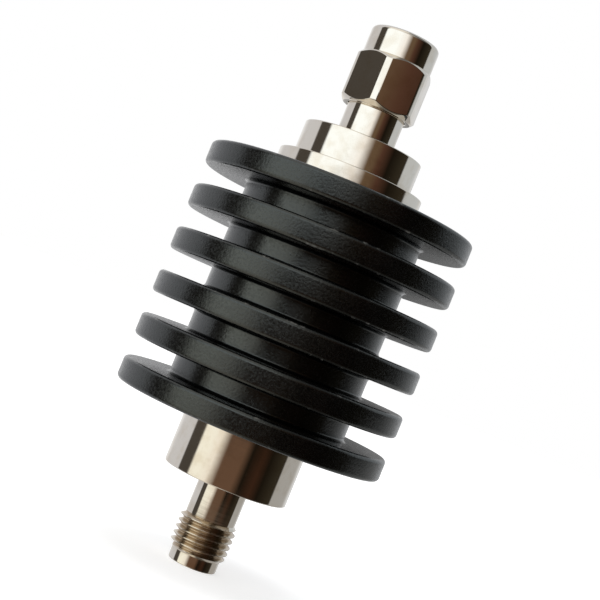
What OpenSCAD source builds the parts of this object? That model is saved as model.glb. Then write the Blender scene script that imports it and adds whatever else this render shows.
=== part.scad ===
// Coaxial attenuator: a turned, finned heat sink on a plated housing sleeve,
// with a jack at the foot and a plug with a free coupling nut at the head.
// Millimetres. Z runs up the axis, from the jack's mating face at z = 0 to the plug.

/* [Heat sink] */
// Length of the heat sink, from the lowest face to the flange
sink_len = 27; // [22:0.5:60]
// Number of fins, spread evenly over that length
fin_count = 6; // [3:1:8]
// Thickness of a fin
fin_t = 2.5; // [1.5:0.1:3.5]
// Height of a fin above the core
fin_h = 5; // [2:0.1:10]
// Wall of the core, from the sleeve to the fin roots
core_wall = 3.1; // [1.5:0.1:6]
// Rounding of a fin's rim edges
fin_edge_r = 0.45; // [0.1:0.05:0.6]
// Fillet at the root of a fin
fin_root_r = 0.4; // [0.1:0.05:0.7]

/* [Housing sleeve] */
// Bore of the sleeve
sleeve_bore_d = 11; // [9.5:0.1:14]
// Wall of the sleeve
sleeve_wall = 1.4; // [0.8:0.1:3]
// Bare length of the sleeve below the heat sink
sleeve_tail = 6.3; // [5:0.1:12]
// How far the flange stands out from the sleeve
flange_lip = 1.25; // [0.6:0.05:3]
// Thickness of the flange that the heat sink is pressed against
flange_t = 2.3; // [1:0.1:5]

/* [Inner line] */
// Diameter of the insulators
insulator_d = 4.1; // [3.8:0.05:4.6]
// Diameter of the centre conductors
conductor_d = 1.27; // [1.2:0.01:1.5]
// How far an insulator's head stands out
head_lip = 0.75; // [0.4:0.05:1.2]
// Thickness of an insulator's head
head_t = 1.5; // [0.8:0.1:3]
// How far the collar of a centre conductor stands out
pin_collar_lip = 0.35; // [0.2:0.05:0.6]
// Thickness of the collar of a centre conductor
pin_collar_t = 0.8; // [0.4:0.1:1.2]
// Air gap around a centre conductor between the carrier halves
air_gap = 0.865; // [0.5:0.005:1.2]

/* [Attenuator chip] */
// Width of the ceramic chip
chip_w = 6; // [4:0.1:7]
// Thickness of the chip
chip_t = 1; // [0.6:0.1:1.5]
// Length of the chip
chip_len = 12; // [6:0.5:14]
// Width of each chip edge that the cover clamps
clamp_w = 0.5; // [0.3:0.1:1]
// Height of the open trough over the chip
trough_h = 2.5; // [1.5:0.1:3.5]
// Width of a solder tab
tab_w = 1.1; // [0.6:0.05:1.2]
// Thickness of a solder tab
tab_t = 0.12; // [0.05:0.01:0.3]
// Lap of a tab on the chip and on the conductor
tab_lap = 1.5; // [0.8:0.1:2.5]
// Open length between the chip and the end of a conductor
tail_gap = 0.5; // [0.2:0.1:1]

/* [Jack] */
// Width of the mating ring on the floor of the mouth
mouth_ring = 0.23; // [0.18:0.01:0.3]
// Depth of the mouth, from the front face to the mating ring
mouth_depth = 1.93; // [1.88:0.01:1.98]
// Wall of the pilot around the mouth
pilot_wall = 0.39; // [0.34:0.01:0.5]
// Length of the plain pilot ahead of the thread
pilot_len = 1.25; // [0.6:0.05:2]
// Height of the thread crests above the pilot
thread_h = 0.47; // [0.3:0.01:0.5]
// Length of the threaded stretch
thread_len = 4.1; // [3:0.1:8]
// Wall of the neck behind the thread
jack_neck_wall = 0.67; // [0.5:0.01:0.9]
// Length of the neck behind the thread
jack_neck_len = 4.05; // [1:0.05:8]
// Length of the spigot inside the sleeve
jack_spigot_len = 4.5; // [3:0.1:6]
// Bore of the socket contact
socket_d = 0.94; // [0.92:0.01:1]
// Depth of the socket contact
socket_depth = 2.6; // [2.4:0.1:3.5]
// Width of the slots that make the socket springy
slot_w = 0.12; // [0.08:0.01:0.15]
// Length of those slots
slot_len = 2.2; // [1.5:0.1:2.4]

/* [Plug] */
// Lip of the plug's collar over the sleeve bore
collar_lip = 1.15; // [0.6:0.05:2]
// Thickness of the plug's collar
collar_t = 3.6; // [2:0.1:6]
// Length of the spigot inside the sleeve
plug_spigot_len = 4.5; // [3:0.1:6]
// Wall of the neck that carries the nut
plug_neck_wall = 1.13; // [1:0.01:1.6]
// Length of the neck, from the collar to the gasket seat
plug_neck_len = 6.5; // [4:0.1:10]
// Thickness of the gasket
gasket_t = 0.9; // [0.6:0.05:1.2]
// Flare of the ferrule's root inside the gasket
root_flare = 0.08; // [0.05:0.01:0.12]
// Wall of the mating ferrule
ferrule_wall = 0.215; // [0.15:0.005:0.26]
// Length of the ferrule, from the gasket to its mating edge
ferrule_len = 1.9; // [1.8:0.05:2.2]
// Diameter of the pin's tip
pin_tip_d = 0.92; // [0.9:0.01:0.94]
// Reach of the pin past the ferrule
pin_reach = 2.25; // [2:0.05:2.5]

/* [Coupling nut] */
// Wall from the nut's rear bore to its flats
nut_wall = 0.66; // [0.55:0.01:1.2]
// Length of the hexagon
nut_hex_len = 5.8; // [4:0.1:8]
// How far the hexagon's corners are turned down
corner_trim = 0.175; // [0.05:0.005:0.3]
// Height of the chamfer at each end of the hexagon
hex_chamfer_h = 0.52; // [0.3:0.01:1.2]
// Step from the flats down to the front ring
ring_step = 0.1; // [0.05:0.01:0.4]
// Length of the front ring
front_ring_len = 2.95; // [1:0.05:4]
// Rounding of the front ring's edge
front_edge_r = 0.5; // [0.1:0.05:0.6]
// Depth of the countersink at the mouth of the nut
mouth_sink = 0.4; // [0.2:0.05:0.5]
// Relief under the nut's thread, above the neck
thread_relief = 0.3; // [0.1:0.05:0.6]
// Thickness of the lip behind the retaining ring
nut_lip = 1.65; // [0.5:0.05:2.5]
// Axial float of the nut on its neck
nut_float = 0.4; // [0.2:0.05:0.6]
// Thickness of the retaining ring
snap_t = 0.6; // [0.4:0.05:0.9]
// Depth of the retaining ring's groove in the neck
neck_groove = 0.45; // [0.3:0.01:0.6]
// Depth of the retaining ring's groove in the nut
nut_groove = 0.27; // [0.2:0.01:0.35]
// Land of the neck above the groove
groove_land = 0.27; // [0.2:0.01:0.5]
// Opening of the retaining ring
snap_split = 1.4; // [0.6:0.1:2.5]
// Angle at which the nut stands
nut_turn = 18.6; // [0:0.1:60]

/* [Clearances] */
// Radial gap of a pressed or seated fit
seat_gap = 0.03; // [0.01:0.005:0.05]
// Radial running gap of the nut on its neck
run_gap = 0.08; // [0.05:0.01:0.1]
// Radial gap between the jack's pilot and the nut's thread bore
thread_gap = 0.15; // [0.1:0.01:0.25]
// Radial gap around the gasket
gasket_gap = 0.15; // [0.1:0.01:0.3]
// Radial gap around the retaining ring in its grooves
snap_gap = 0.05; // [0.03:0.01:0.08]
// Axial gap beside the retaining ring
axial_gap = 0.03; // [0.02:0.01:0.05]
// Small chamfer on turned edges
edge_break = 0.15; // [0.05:0.01:0.25]
// Finer chamfer on the mating edges
mating_break = 0.08; // [0.04:0.01:0.1]

/* [Hidden] */
// Radii of the inner line, from the centre outwards
conductor_r = conductor_d / 2;
pin_collar_r = conductor_r + pin_collar_lip;
air_r = conductor_r + air_gap;
insulator_r = insulator_d / 2;
head_r = insulator_r + head_lip;
line_r = insulator_r + seat_gap;

// Radii of the housing, the heat sink and the parts inside the sleeve
cavity_r = sleeve_bore_d / 2;
spigot_r = cavity_r - seat_gap;
sleeve_r = cavity_r + sleeve_wall;
flange_r = sleeve_r + flange_lip;
core_r = sleeve_r + core_wall;
fin_r = core_r + fin_h;
fin_gap = (sink_len - fin_count * fin_t) / (fin_count - 1);
fin_pitch = fin_t + fin_gap;
rim_r = min(fin_edge_r, 0.4 * fin_t);
root_r = min(fin_root_r, 0.4 * fin_gap);

// Radii of the jack
mouth_r = line_r + mouth_ring;
pilot_r = mouth_r + pilot_wall;
thread_r = pilot_r + thread_h;
jack_neck_r = line_r + jack_neck_wall;

// Radii of the plug and its nut
collar_r = cavity_r + collar_lip;
plug_neck_r = line_r + plug_neck_wall;
ferrule_r = line_r + ferrule_wall;
ferrule_root_r = ferrule_r + root_flare;
neck_groove_r = plug_neck_r - neck_groove;
nut_bore_r = plug_neck_r + run_gap;
nut_groove_r = nut_bore_r + nut_groove;
nut_thread_r = pilot_r + thread_gap;
flat_r = nut_bore_r + nut_wall;
corner_r = flat_r / cos(30) - corner_trim;
front_ring_r = flat_r - ring_step;
front_rim_r = min(front_edge_r, 0.92 * (front_ring_r - nut_thread_r - mouth_sink));

// Heights, from the jack's mating face upwards
z_thread = pilot_len;
z_jack_neck = z_thread + thread_len;
z_sleeve = z_jack_neck + jack_neck_len;
z_sink = z_sleeve + sleeve_tail;
z_flange = z_sink + sink_len;
z_collar = z_flange + flange_t;
z_plug_neck = z_collar + collar_t;
z_gasket = z_plug_neck + plug_neck_len;
z_ferrule = z_gasket + gasket_t;
z_plug_face = z_ferrule + ferrule_len;
z_pin_tip = z_plug_face + pin_reach;

// Heights of the pieces inside the sleeve
z_carrier_0 = z_sleeve + jack_spigot_len;
z_carrier_1 = z_collar - plug_spigot_len;
z_chip_mid = (z_carrier_0 + z_carrier_1) / 2;
z_chip_0 = z_chip_mid - chip_len / 2;
z_chip_1 = z_chip_mid + chip_len / 2;
tail_flat = tab_lap + tail_gap;

// Heights of the nut and its retaining ring, with the nut down on its stop
z_groove_1 = z_gasket - groove_land;
z_snap_1 = z_groove_1 - axial_gap - nut_float;
z_snap_0 = z_snap_1 - snap_t;
z_groove_0 = z_snap_0 - axial_gap;
z_nut_0 = z_snap_0 - nut_lip;
z_nut_thread = z_gasket + thread_relief;
z_front_ring = z_nut_0 + nut_hex_len;
z_nut_1 = z_front_ring + front_ring_len;

// Overrun of a cut past a face
cut = 1;
$fn = 96;

// Solid of revolution from an outline of [radius, height] points
module turned(outline) {
    rotate_extrude()
        polygon(outline);
}

// Section of a turned rim whose two outer edges are rounded
module rim_section(inner_r, outer_r, z_0, z_1, edge_r) {
    translate([inner_r, z_0])
        square([outer_r - edge_r - inner_r, z_1 - z_0]);
    translate([inner_r, z_0 + edge_r])
        square([outer_r - inner_r, z_1 - z_0 - 2 * edge_r]);
    for (z = [z_0 + edge_r, z_1 - edge_r])
        translate([outer_r - edge_r, z])
            circle(edge_r);
}

// Section of the two fillets at the foot of the gap that starts at height z
module root_fillets(z) {
    for (side = [0, 1])
        translate([core_r, z + side * fin_gap])
            mirror([0, side])
                difference() {
                    translate([-root_r, -root_r])
                        square(2 * root_r);
                    translate([root_r, root_r])
                        circle(root_r);
                }
}

// Box that is centred on X, from [y, z] to [y, z]
module centred_box(width, low, high) {
    translate([-width / 2, low[0], low[1]])
        cube([width, high[0] - low[0], high[1] - low[1]]);
}

module heat_sink() {
    sink_bore_r = sleeve_r + seat_gap;
    color([0.06, 0.06, 0.065])
        rotate_extrude() {
            translate([sink_bore_r, z_sink])
                square([core_r - sink_bore_r, sink_len]);
            for (i = [0 : fin_count - 1])
                rim_section(core_r - root_r, fin_r, z_sink + i * fin_pitch,
                    z_sink + i * fin_pitch + fin_t, rim_r);
            for (i = [0 : fin_count - 2])
                root_fillets(z_sink + i * fin_pitch + fin_t);
        }
}

module housing_sleeve() {
    color([0.78, 0.74, 0.67])
        turned([
            [cavity_r, z_sleeve],
            [sleeve_r - edge_break, z_sleeve],
            [sleeve_r, z_sleeve + edge_break],
            [sleeve_r, z_flange],
            [flange_r - edge_break, z_flange],
            [flange_r, z_flange + edge_break],
            [flange_r, z_collar - edge_break],
            [flange_r - edge_break, z_collar],
            [cavity_r, z_collar]
        ]);
}

module jack_shell() {
    lead = 2 * edge_break;
    color([0.78, 0.74, 0.67])
        turned([
            [mouth_r + mating_break, 0],
            [pilot_r - edge_break, 0],
            [pilot_r, edge_break],
            [pilot_r, z_thread],
            [thread_r, z_thread + lead],
            [thread_r, z_jack_neck],
            [jack_neck_r, z_jack_neck],
            [jack_neck_r, z_sleeve],
            [spigot_r, z_sleeve],
            [spigot_r, z_carrier_0],
            [head_r + seat_gap, z_carrier_0],
            [head_r + seat_gap, z_carrier_0 - head_t],
            [line_r, z_carrier_0 - head_t],
            [line_r, mouth_depth],
            [mouth_r, mouth_depth],
            [mouth_r, mating_break]
        ]);
}

// Headed insulator that runs from its head, at height z_head, to its mating face
module insulator(z_head, z_face) {
    up = sign(z_face - z_head);
    color([0.95, 0.95, 0.93])
        turned([
            [pin_collar_r + seat_gap, z_head],
            [head_r, z_head],
            [head_r, z_head + up * head_t],
            [insulator_r, z_head + up * head_t],
            [insulator_r, z_face],
            [conductor_r + seat_gap, z_face],
            [conductor_r + seat_gap, z_head + up * pin_collar_t],
            [pin_collar_r + seat_gap, z_head + up * pin_collar_t]
        ]);
}

module jack_insulator() {
    insulator(z_carrier_0, mouth_depth);
}

module plug_insulator() {
    insulator(z_carrier_1, z_plug_face);
}

// Plain centre conductor from its mating face to the tail beside the chip, with a collar
// at the insulator's head and a flat on the tail that the solder tab lies on
module conductor(z_face, z_head, z_chip) {
    up = sign(z_chip - z_face);
    z_tail = z_chip - up * tail_gap;
    z_flat = z_tail - up * tail_flat;
    color([0.86, 0.68, 0.32])
        difference() {
            turned([
                [0, z_face],
                [conductor_r, z_face],
                [conductor_r, z_head - up * pin_collar_t],
                [pin_collar_r, z_head - up * pin_collar_t],
                [pin_collar_r, z_head],
                [conductor_r, z_head],
                [conductor_r, z_tail],
                [0, z_tail]
            ]);
            centred_box(2 * pin_collar_r + cut, [0, min(z_flat, z_tail + up * cut)],
                [pin_collar_r + cut, max(z_flat, z_tail + up * cut)]);
        }
}

module jack_contact() {
    color([0.86, 0.68, 0.32])
        difference() {
            conductor(mouth_depth, z_carrier_0, z_chip_0);
            translate([0, 0, mouth_depth - cut])
                cylinder(d = socket_d, h = socket_depth + cut);
            for (turn = [0, 90])
                rotate([0, 0, turn])
                    centred_box(slot_w, [-conductor_d, mouth_depth - cut],
                        [conductor_d, mouth_depth + slot_len]);
        }
}

module plug_pin() {
    tip_r = pin_tip_d / 2;
    color([0.86, 0.68, 0.32])
        union() {
            conductor(z_plug_face, z_carrier_1, z_chip_1);
            turned([
                [0, z_plug_face - edge_break],
                [tip_r, z_plug_face - edge_break],
                [tip_r, z_pin_tip - 2 * edge_break],
                [tip_r / 2, z_pin_tip],
                [0, z_pin_tip]
            ]);
        }
}

module plug_shell() {
    color([0.78, 0.74, 0.67])
        turned([
            [head_r + seat_gap, z_carrier_1],
            [spigot_r, z_carrier_1],
            [spigot_r, z_collar],
            [collar_r, z_collar],
            [collar_r, z_plug_neck - edge_break],
            [collar_r - edge_break, z_plug_neck],
            [plug_neck_r, z_plug_neck],
            [plug_neck_r, z_groove_0],
            [neck_groove_r, z_groove_0],
            [neck_groove_r, z_groove_1],
            [plug_neck_r, z_groove_1],
            [plug_neck_r, z_gasket],
            [ferrule_root_r, z_gasket],
            [ferrule_r, z_ferrule],
            [ferrule_r, z_plug_face - mating_break],
            [ferrule_r - mating_break, z_plug_face],
            [line_r, z_plug_face],
            [line_r, z_carrier_1 + head_t],
            [head_r + seat_gap, z_carrier_1 + head_t]
        ]);
}

module sealing_gasket() {
    inner_r = ferrule_root_r + seat_gap;
    outer_r = nut_thread_r - gasket_gap;
    color([0.75, 0.3, 0.2])
        turned([
            [inner_r, z_gasket],
            [outer_r, z_gasket],
            [outer_r, z_ferrule],
            [inner_r, z_ferrule]
        ]);
}

// Half of the round carrier, on the side of the split plane that side gives
module carrier_half(side) {
    intersection() {
        translate([0, 0, z_carrier_0])
            cylinder(r = spigot_r, h = z_carrier_1 - z_carrier_0);
        centred_box(2 * sleeve_bore_d, [min(0, side * sleeve_bore_d), z_carrier_0],
            [max(0, side * sleeve_bore_d), z_carrier_1]);
    }
}

// Air line that runs in from both ends of the carrier to the chip
module air_lines() {
    translate([0, 0, z_carrier_0 - cut])
        cylinder(r = air_r, h = z_chip_0 - z_carrier_0 + cut);
    translate([0, 0, z_chip_1])
        cylinder(r = air_r, h = z_carrier_1 - z_chip_1 + cut);
}

module carrier_base() {
    color([0.8, 0.8, 0.82])
        difference() {
            carrier_half(-1);
            air_lines();
            centred_box(chip_w + 2 * seat_gap, [-chip_t, z_chip_0 - seat_gap],
                [cut, z_chip_1 + seat_gap]);
        }
}

module carrier_cover() {
    color([0.8, 0.8, 0.82])
        difference() {
            carrier_half(1);
            air_lines();
            centred_box(chip_w - 2 * clamp_w, [-cut, z_chip_0 - seat_gap],
                [trough_h, z_chip_1 + seat_gap]);
        }
}

module attenuator_chip() {
    color([0.93, 0.93, 0.9])
        centred_box(chip_w, [-chip_t, z_chip_0], [0, z_chip_1]);
}

module input_tab() {
    color([0.85, 0.6, 0.35])
        centred_box(tab_w, [0, z_chip_0 - tail_gap - tab_lap], [tab_t, z_chip_0 + tab_lap]);
}

module output_tab() {
    color([0.85, 0.6, 0.35])
        centred_box(tab_w, [0, z_chip_1 - tab_lap], [tab_t, z_chip_1 + tail_gap + tab_lap]);
}

module retaining_ring() {
    color([0.6, 0.6, 0.62])
        translate([0, 0, z_snap_0])
            difference() {
                cylinder(r = nut_groove_r - snap_gap, h = snap_t);
                translate([0, 0, -cut])
                    cylinder(r = neck_groove_r + snap_gap, h = snap_t + 2 * cut);
                centred_box(snap_split, [0, -cut], [2 * nut_groove_r, snap_t + cut]);
            }
}

// Hexagon whose corners and end edges are turned down
module nut_hexagon() {
    intersection() {
        translate([0, 0, z_nut_0])
            cylinder(r = flat_r / cos(30), h = nut_hex_len, $fn = 6);
        turned([
            [0, z_nut_0],
            [front_ring_r, z_nut_0],
            [corner_r, z_nut_0 + hex_chamfer_h],
            [corner_r, z_front_ring - hex_chamfer_h],
            [front_ring_r, z_front_ring],
            [0, z_front_ring]
        ]);
    }
}

module coupling_nut() {
    color([0.78, 0.74, 0.67])
        rotate([0, 0, nut_turn])
            difference() {
                union() {
                    nut_hexagon();
                    rotate_extrude()
                        rim_section(0, front_ring_r, z_nut_0 + hex_chamfer_h, z_nut_1,
                            front_rim_r);
                }
                turned([
                    [0, z_nut_0 - cut],
                    [nut_bore_r, z_nut_0 - cut],
                    [nut_bore_r, z_snap_0 - axial_gap],
                    [nut_groove_r, z_snap_0 - axial_gap],
                    [nut_groove_r, z_snap_1 + axial_gap],
                    [nut_bore_r, z_snap_1 + axial_gap],
                    [nut_bore_r, z_nut_thread],
                    [nut_thread_r, z_nut_thread],
                    [nut_thread_r, z_nut_1 - mouth_sink],
                    [nut_thread_r + mouth_sink, z_nut_1],
                    [nut_thread_r + mouth_sink, z_nut_1 + cut],
                    [0, z_nut_1 + cut]
                ]);
            }
}

heat_sink();
housing_sleeve();
jack_shell();
jack_insulator();
jack_contact();
plug_shell();
plug_insulator();
plug_pin();
sealing_gasket();
carrier_base();
carrier_cover();
attenuator_chip();
input_tab();
output_tab();
retaining_ring();
coupling_nut();
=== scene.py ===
"""Looks of a coaxial attenuator: a finned heat sink on a plated housing, with a jack and a plug.

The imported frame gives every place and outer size. The classes below turn the visible pieces
anew on that frame, with rounded edges and real threads, and give each piece its finish.
Outlines are in millimetres, as [radius, height] on the common axis, and meshes in metres.
"""

from __future__ import annotations

import logging
import math
from contextlib import contextmanager
from dataclasses import dataclass, field
from enum import Enum
from typing import Any, ClassVar, Iterator, Sequence

import bpy
from mathutils import Matrix, Vector

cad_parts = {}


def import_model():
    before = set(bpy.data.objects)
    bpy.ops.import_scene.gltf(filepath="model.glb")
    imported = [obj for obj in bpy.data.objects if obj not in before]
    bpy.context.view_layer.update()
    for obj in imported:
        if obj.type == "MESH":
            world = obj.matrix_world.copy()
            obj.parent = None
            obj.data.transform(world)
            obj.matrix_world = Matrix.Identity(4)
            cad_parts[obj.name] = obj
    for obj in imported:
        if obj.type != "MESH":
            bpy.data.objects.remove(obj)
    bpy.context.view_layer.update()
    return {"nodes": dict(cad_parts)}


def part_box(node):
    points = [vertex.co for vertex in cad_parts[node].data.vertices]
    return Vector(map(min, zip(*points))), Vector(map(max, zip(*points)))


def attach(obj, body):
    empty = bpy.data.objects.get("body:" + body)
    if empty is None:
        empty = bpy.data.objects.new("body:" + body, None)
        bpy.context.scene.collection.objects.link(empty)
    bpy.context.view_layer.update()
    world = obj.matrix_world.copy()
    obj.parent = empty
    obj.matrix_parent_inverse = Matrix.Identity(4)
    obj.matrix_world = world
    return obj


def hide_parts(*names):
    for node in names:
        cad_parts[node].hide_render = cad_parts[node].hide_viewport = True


LOG = logging.getLogger("attenuator")

MM = 0.001
TURN = 2 * math.pi
ARC_STEP = math.radians(15)
SHARP_ANGLE = math.radians(32)
HEX_STEP = 60.0  # degrees
WELD_GAP = 0.002  # millimetres
SEAM_GAP = 0.001  # millimetres

Piece = bpy.types.Object
Socket = bpy.types.NodeSocket
Point = tuple[float, float]
Colour = tuple[float, float, float]
Tones = tuple[Colour, Colour]
Stop = tuple[float, Colour]


class Body(Enum):
    """Bodies of the frame that the new pieces ride on."""

    ATTENUATOR = "attenuator"
    NUT = "nut"


# Outlines


@dataclass(frozen=True)
class Corner:
    """Corner of a turned outline, in millimetres, with the radius of its rounding."""

    r: float
    z: float
    round_r: float = 0.0

    def place(self) -> Vector:
        """Gives the corner as a flat vector."""
        return Vector((self.r, self.z))


@dataclass(frozen=True)
class Span:
    """Reach of a node of the frame, in millimetres."""

    r: float
    low: float
    high: float

    @classmethod
    def of(cls, node: str) -> Span:
        """Gives a node's radius along X and its lowest and highest height."""
        low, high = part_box(node)
        return cls(r=high.x / MM, low=low.z / MM, high=high.z / MM)


def rounded_outline(corners: Sequence[Corner], closed: bool) -> list[Point]:
    """Replaces each corner that has a radius by an arc.

    Args:
        corners: Corners of the outline, in order.
        closed: Whether the last corner is joined to the first.

    Returns:
        Points of the outline, where a closed one ends at its first point again.
    """
    last = len(corners) - 1
    outline: list[Point] = []
    for index, corner in enumerate(corners):
        at_end = not closed and index in (0, last)
        if corner.round_r == 0 or at_end:
            outline.append((corner.r, corner.z))
            continue
        to_last = (corners[index - 1].place() - corner.place()).normalized()
        to_next = (corners[(index + 1) % len(corners)].place() - corner.place()).normalized()
        half = to_last.angle(to_next) / 2
        inward = (to_last + to_next).normalized()
        centre = corner.place() + inward * (corner.round_r / math.sin(half))
        reach = corner.round_r / math.tan(half)
        start = corner.place() + to_last * reach - centre
        end = corner.place() + to_next * reach - centre
        sweep = math.atan2(start.cross(end), start.dot(end))
        steps = max(2, math.ceil(abs(sweep) / ARC_STEP))
        for step in range(steps + 1):
            spoke = Matrix.Rotation(sweep * step / steps, 2) @ start
            outline.append((centre.x + spoke.x, centre.y + spoke.y))
    if closed:
        outline.append(outline[0])
    return outline


# Bench work


def select_only(*pieces: Piece) -> None:
    """Selects these pieces and nothing else, with the first one active.

    Args:
        pieces: Pieces to select.
    """
    bpy.ops.object.select_all(action="DESELECT")
    for piece in pieces:
        piece.select_set(True)
    bpy.context.view_layer.objects.active = pieces[0]


@contextmanager
def editing(piece: Piece) -> Iterator[None]:
    """Opens one piece in edit mode, and closes it again.

    Args:
        piece: Piece to edit.

    Yields:
        Nothing, while the piece is open.
    """
    select_only(piece)
    bpy.ops.object.mode_set(mode="EDIT")
    try:
        yield
    finally:
        bpy.ops.object.mode_set(mode="OBJECT")


def weld(piece: Piece) -> None:
    """Merges what coincides in a piece and turns its faces outwards.

    Args:
        piece: Piece to weld.
    """
    with editing(piece):
        bpy.ops.mesh.select_all(action="SELECT")
        bpy.ops.mesh.remove_doubles(threshold=WELD_GAP * MM)
        bpy.ops.mesh.normals_make_consistent(inside=False)


def trace(name: str, outline: Sequence[Point]) -> Piece:
    """Draws an outline in the plane Y = 0 by extruding one vertex along it.

    Args:
        name: Name of the new piece.
        outline: Points as [radius, height] in millimetres.

    Returns:
        A piece that holds only the outline's edges.
    """
    bpy.ops.object.select_all(action="DESELECT")
    bpy.ops.mesh.primitive_plane_add(size=MM)
    piece = bpy.context.object
    piece.name = name
    piece.data.name = name
    places = [Vector((r * MM, 0, z * MM)) for r, z in outline]
    with editing(piece):
        bpy.ops.mesh.select_all(action="SELECT")
        bpy.ops.mesh.merge(type="CENTER")
        bpy.ops.transform.translate(value=places[0])
        for before, after in zip(places, places[1:]):
            bpy.ops.mesh.extrude_region_move(TRANSFORM_OT_translate={"value": after - before})
    return piece


def turn(name: str, corners: Sequence[Corner], segments: int, closed: bool = True) -> Piece:
    """Turns a piece on the lathe, by spinning its outline round the axis.

    Args:
        name: Name of the new piece.
        corners: Corners of its outline.
        segments: Number of steps in a full turn.
        closed: Whether the outline closes on itself.

    Returns:
        The turned piece.
    """
    piece = trace(name, rounded_outline(corners, closed))
    with editing(piece):
        bpy.ops.mesh.select_all(action="SELECT")
        bpy.ops.mesh.spin(steps=segments, angle=TURN, center=(0, 0, 0), axis=(0, 0, 1))
    weld(piece)
    return piece


def cut_away(piece: Piece, tool: Piece) -> None:
    """Cuts a tool's shape out of a piece, and puts the tool away.

    Args:
        piece: Workpiece.
        tool: Closed mesh that cuts it.
    """
    select_only(piece)
    modifier = piece.modifiers.new("cut", "BOOLEAN")
    modifier.operation = "DIFFERENCE"
    modifier.solver = "EXACT"
    modifier.object = tool
    bpy.ops.object.modifier_apply(modifier=modifier.name)
    mesh = tool.data
    bpy.data.objects.remove(tool)
    bpy.data.meshes.remove(mesh)


def block(name: str, low: Sequence[float], high: Sequence[float]) -> Piece:
    """Makes a box-shaped tool.

    Args:
        name: Name of the tool.
        low: Its lowest corner, in millimetres.
        high: Its highest corner.

    Returns:
        The tool.
    """
    bpy.ops.object.select_all(action="DESELECT")
    middle = [(a + b) / 2 * MM for a, b in zip(low, high)]
    sides = [(b - a) * MM for a, b in zip(low, high)]
    bpy.ops.mesh.primitive_cube_add(size=1, location=middle, scale=sides)
    tool = bpy.context.object
    tool.name = name
    bpy.ops.object.transform_apply(location=True, rotation=True, scale=True)
    return tool


def join(piece: Piece, *others: Piece) -> None:
    """Joins other pieces to a piece and welds the rings where they meet.

    Args:
        piece: Piece that stays.
        others: Pieces that become part of it.
    """
    select_only(piece, *others)
    bpy.ops.object.join()
    weld(piece)


def smooth(piece: Piece) -> None:
    """Shades a piece smooth, with its sharp edges kept and its large faces level.

    Args:
        piece: Piece to shade.
    """
    select_only(piece)
    bpy.ops.object.shade_smooth_by_angle(angle=SHARP_ANGLE)
    level = piece.modifiers.new("level", "WEIGHTED_NORMAL")
    level.mode = "FACE_AREA_WITH_ANGLE"
    level.thresh = 0.0
    level.keep_sharp = True
    bpy.ops.object.modifier_apply(modifier=level.name)


@dataclass(frozen=True)
class Thread:
    """Right-handed 60 degree thread between two rings, in millimetres.

    The thread starts on the ring of low_r at z_low and ends on the ring of high_r at z_high,
    and swells from there to its full depth along a cone.
    """

    root_r: float
    crest_r: float
    z_low: float
    z_high: float
    low_r: float
    high_r: float
    pitch: float = 25.4 / 36
    flank_angle: float = 30.0
    crest_share: float = 0.45
    # Share of grime and painted shade that the crests keep.
    crest_grime_and_shade: float = 0.25
    edge_r: float = 0.025
    lead: float = 1.0
    spare_turns: int = 2

    def profile(self) -> list[Corner]:
        """Gives one pitch of the thread's outline, from root to root.

        Returns:
            Corners that start one pitch below the lower ring.
        """
        flank = abs(self.crest_r - self.root_r) * math.tan(math.radians(self.flank_angle))
        spare = self.pitch - 2 * flank
        crest = spare * self.crest_share
        half_root = (spare - crest) / 2
        base = self.z_low - self.pitch
        rise = base + half_root + flank
        fall = rise + crest
        return [
            Corner(self.root_r, base),
            Corner(self.root_r, base + half_root, self.edge_r),
            Corner(self.crest_r, rise, self.edge_r),
            Corner(self.crest_r, fall, self.edge_r),
            Corner(self.root_r, fall + flank, self.edge_r),
            Corner(self.root_r, base + self.pitch),
        ]

    def press_ends(self, mesh: bpy.types.Mesh) -> None:
        """Presses the winding's ends on to the end rings, with lead-in cones, and marks its roots for grime
        and painted shade.

        Args:
            mesh: The winding, which runs past both rings.
        """
        low, high = self.z_low * MM, self.z_high * MM
        # Share of grime and painted shade, which deepens from crest to root.
        film = mesh.attributes.new(NickelPlate.root_grime_and_shade, "FLOAT", "POINT")
        for vertex, value in zip(mesh.vertices, film.data):
            flat = vertex.co.xy
            height = min(max(vertex.co.z, low), high)
            if height == low:
                radius = self.low_r * MM
            elif height == high:
                radius = self.high_r * MM
            else:
                from_low = self.low_r * MM + (height - low) * self.lead
                from_high = self.high_r * MM + (high - height) * self.lead
                radius = min(flat.length, from_low, from_high)
                depth = (self.crest_r - flat.length / MM) / (self.crest_r - self.root_r)
                value.value = self.crest_grime_and_shade + (1 - self.crest_grime_and_shade) * depth
            place = flat.normalized() * radius
            vertex.co = (place.x, place.y, height)

    def cut(self, name: str, segments: int) -> Piece:
        """Winds the thread.

        Args:
            name: Name of the new piece.
            segments: Number of steps in a full turn.

        Returns:
            An open tube that ends in the two rings.
        """
        piece = trace(name, rounded_outline(self.profile(), closed=False))
        screw = piece.modifiers.new("winding", "SCREW")
        screw.axis = "Z"
        screw.angle = TURN
        screw.screw_offset = self.pitch * MM
        screw.iterations = math.ceil((self.z_high - self.z_low) / self.pitch) + self.spare_turns
        screw.steps = segments
        screw.render_steps = segments
        screw.use_merge_vertices = True
        screw.merge_threshold = SEAM_GAP * MM
        select_only(piece)
        bpy.ops.object.modifier_apply(modifier=screw.name)
        self.press_ends(piece.data)
        weld(piece)
        return piece


# Finishes


@dataclass(frozen=True)
class Noise:
    """Noise in a surface: cells per metre along each axis, finer layers, and whether it is turned."""

    cells: tuple[float, float, float]
    detail: float
    turned: bool = False

    @classmethod
    def even(cls, cells: float, detail: float) -> Noise:
        """Gives a noise of one size all round."""
        return cls((cells, cells, cells), detail)


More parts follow.
